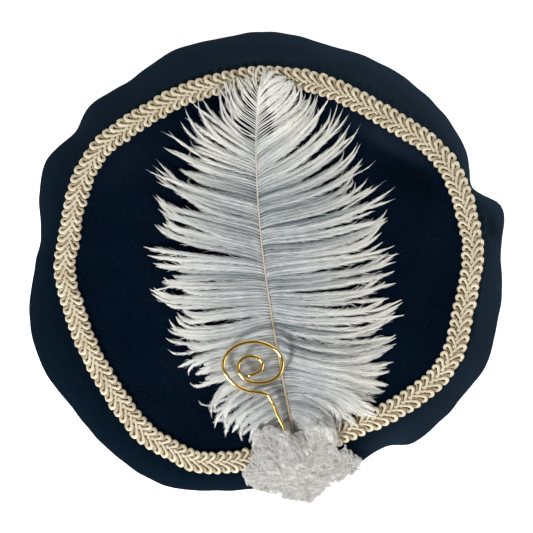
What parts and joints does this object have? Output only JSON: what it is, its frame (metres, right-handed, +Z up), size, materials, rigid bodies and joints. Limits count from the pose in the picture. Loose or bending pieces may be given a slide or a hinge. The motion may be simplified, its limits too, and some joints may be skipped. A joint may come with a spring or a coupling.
{
  "type": "feathered beret",
  "caption": "Flat slack cloth beret with a ring of gimp braid, a plume laid across the top, a spiral wire pin and a plush star patch, hollow with an open head hole.",
  "frame": {"origin": "on the floor under the middle of the beret's outline, as it lies on the hem of its head opening", "axes": "+Z up through the crown, +Y towards the feather's tip, +X to the right of the feather"},
  "size_m": [0.28, 0.2791, 0.0548],
  "materials": {
    "navy_cloth": "soft napped knit cloth, matt",
    "cream_braid": "satin twisted cord, woven gimp",
    "white_feather": "downy barbs, soft sheen",
    "gold_wire": "polished gold wire",
    "white_plush": "curly plush pile"
  },
  "bodies": {
    "root": {"crown": "navy_cloth", "braid": "cream_braid", "feather": "white_feather", "spiral_pin": "gold_wire", "star_patch": "white_plush"}
  },
  "joints": []
}
